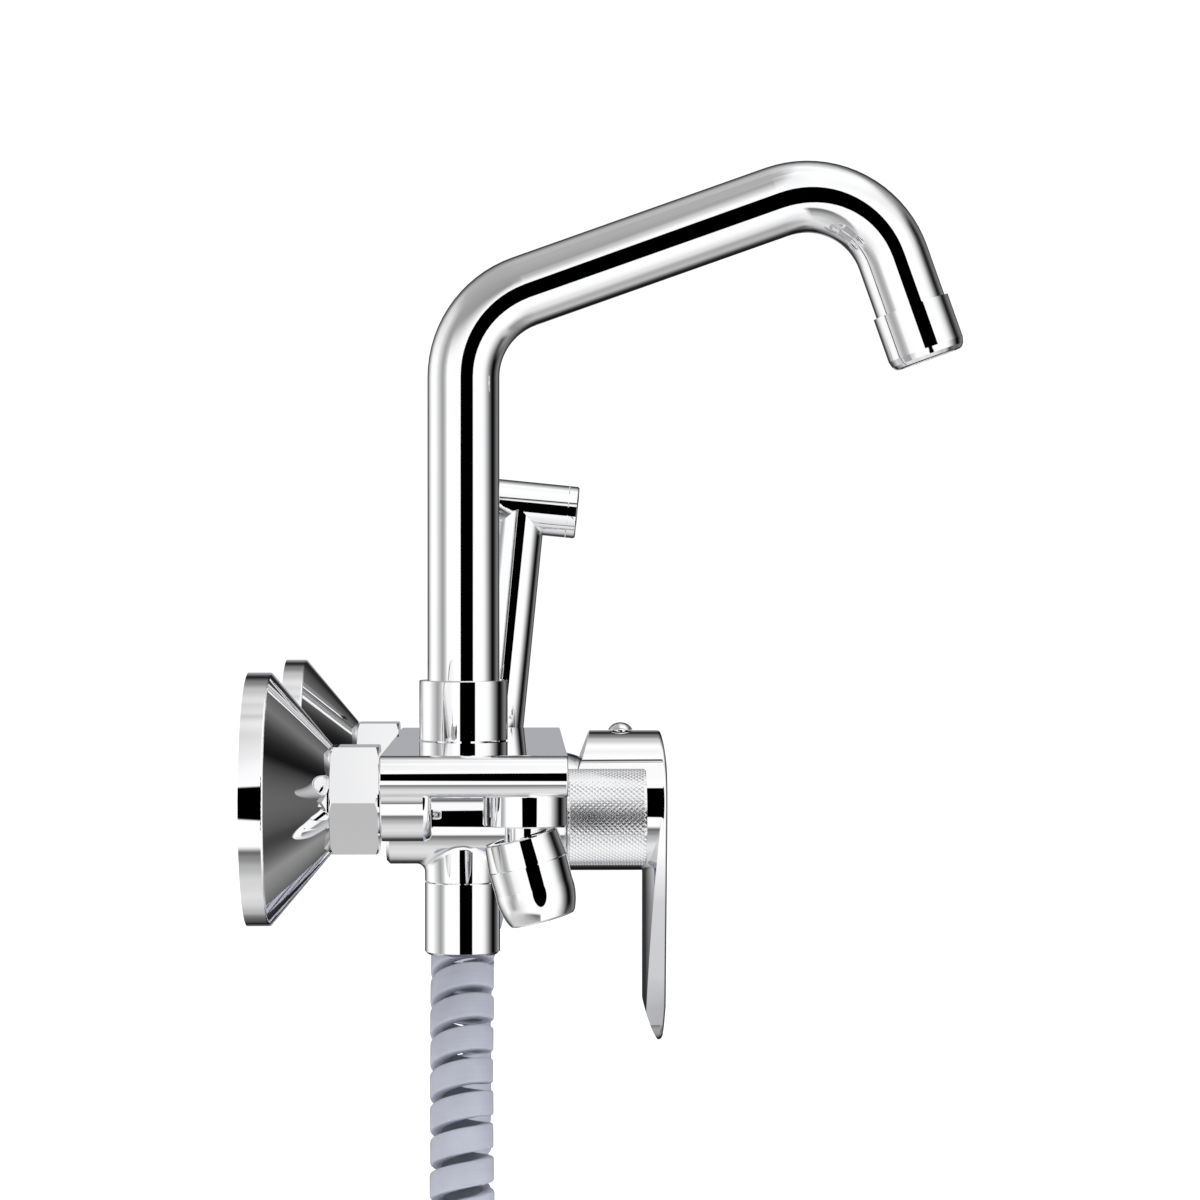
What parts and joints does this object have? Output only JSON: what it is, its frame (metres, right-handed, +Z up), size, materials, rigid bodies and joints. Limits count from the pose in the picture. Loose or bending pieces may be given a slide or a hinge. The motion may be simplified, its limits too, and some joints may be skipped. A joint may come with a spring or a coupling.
{
  "type": "pre rinse faucet",
  "caption": "Wall-mounted lever mixer with a swinging bent spout, a knurled diverter, a swivel outlet and a hand spray on a spiral hose.",
  "frame": {"origin": "on the finished wall, midway between the axes of the two wall inlets", "axes": "+X along the wall to the user's right, +Y into the wall, +Z up; the spout points along -Y"},
  "size_m": [0.2284, 0.2125, 0.407],
  "materials": {
    "polished_chrome": "mirror polished chrome plate",
    "raw_brass": "machined, unplated",
    "stainless_steel": "satin",
    "seal_rubber": "matt moulded",
    "valve_plastic": "fine matt moulded",
    "valve_ceramic": "lapped ceramic",
    "hose_vinyl": "semi-gloss vinyl"
  },
  "bodies": {
    "body": {"wall_union_left": "raw_brass", "wall_union_right": "raw_brass", "wall_flange_left": "polished_chrome", "wall_flange_right": "polished_chrome", "union_nut_left": "polished_chrome", "union_nut_right": "polished_chrome", "strainer_washers": "seal_rubber", "inlet_tails": "polished_chrome", "body_casting": "polished_chrome", "spout_retaining_ring": "valve_plastic", "diverter_seat_disc": "valve_ceramic", "diverter_gland_nut": "raw_brass", "diverter_stem_seal": "seal_rubber", "mixer_cartridge": "valve_plastic", "cartridge_seals": "seal_rubber", "ceramic_disc_fixed": "valve_ceramic", "cartridge_nut": "raw_brass", "cartridge_dome": "polished_chrome", "swivel_stem": "polished_chrome", "swivel_clip": "stainless_steel", "outlet_nipple": "polished_chrome", "hose_nut": "polished_chrome", "hose_washer": "seal_rubber", "hose_ferrule": "raw_brass", "spiral_hose": "hose_vinyl", "spray_holder": "polished_chrome", "holder_screws": "stainless_steel"},
    "spout": {"spout_spigot": "polished_chrome", "spout_o_rings": "seal_rubber", "spout_collar": "polished_chrome", "spout_tube": "polished_chrome", "aerator_shell": "polished_chrome", "aerator_insert": "valve_plastic", "aerator_gasket": "seal_rubber"},
    "knob": {"diverter_spindle": "raw_brass", "diverter_knob": "polished_chrome", "knob_screw": "stainless_steel", "knob_cap": "polished_chrome"},
    "mixing_guide": {"ceramic_disc_moving": "valve_ceramic", "stem_guide": "valve_plastic", "stem_pin": "stainless_steel"},
    "lever": {"lever_stem": "stainless_steel", "lever_handle": "polished_chrome", "lever_grub_screw": "stainless_steel", "lever_plug": "polished_chrome"},
    "swivel_ball": {"swivel_ball": "polished_chrome"},
    "swivel": {"swivel_ring_nut": "polished_chrome", "swivel_shell": "polished_chrome", "swivel_seat": "valve_plastic", "swivel_aerator_insert": "valve_plastic"},
    "spray": {"spray_body": "polished_chrome", "spray_face_ring": "polished_chrome", "spray_face_plate": "valve_plastic", "spray_spring": "stainless_steel", "spray_hose_nut": "polished_chrome", "spray_ferrule": "raw_brass", "trigger_pin": "stainless_steel"},
    "trigger": {"spray_trigger": "polished_chrome"},
    "plunger": {"spray_plunger": "raw_brass", "spray_valve_washer": "seal_rubber"}
  },
  "joints": [
    {"name": "spout_swing", "type": "hinge", "parent": "body", "child": "spout", "pos_m": [0, -0.0593, 0], "axis": [0, 0, 1], "range_deg": [-90, 90]},
    {"name": "diverter_turn", "type": "hinge", "parent": "body", "child": "knob", "pos_m": [0, 0, -0.0107], "axis": [0, -1, 0], "range_deg": [-90, 90]},
    {"name": "lever_turn", "type": "hinge", "parent": "body", "child": "mixing_guide", "pos_m": [0.075, 0, -0.0107], "axis": [0, -1, 0], "range_deg": [-45, 45]},
    {"name": "lever_tilt", "type": "hinge", "parent": "mixing_guide", "child": "lever", "pos_m": [0.075, -0.0893, -0.0107], "axis": [-1, 0, 0], "range_deg": [0, 20]},
    {"name": "swivel_turn", "type": "hinge", "parent": "body", "child": "swivel_ball", "pos_m": [-0.075, -0.078, 0], "axis": [0, 0, 1], "continuous": true},
    {"name": "swivel_tilt", "type": "hinge", "parent": "swivel_ball", "child": "swivel", "pos_m": [-0.075, -0.078, -0.0156], "axis": [1, 0, 0], "range_deg": [0, 30]},
    {"name": "spray_lift", "type": "slide", "parent": "body", "child": "spray", "axis": [0, -0.0993, 0.9951], "range_m": [0, 0.03]},
    {"name": "trigger_squeeze", "type": "hinge", "parent": "spray", "child": "trigger", "pos_m": [0.103, -0.05975, 0.09333], "axis": [-1, 0, 0], "range_deg": [0, 10], "stiffness_Nm_per_rad": 0.4, "springref_deg": -14.32},
    {"name": "valve_push", "type": "slide", "parent": "spray", "child": "plunger", "axis": [0, -0.9951, -0.0993], "range_m": [0, 0.0009]}
  ],
  "couplings": [
    {"joint": "valve_push", "follows": "trigger_squeeze", "m_per_rad": 0.005}
  ]
}
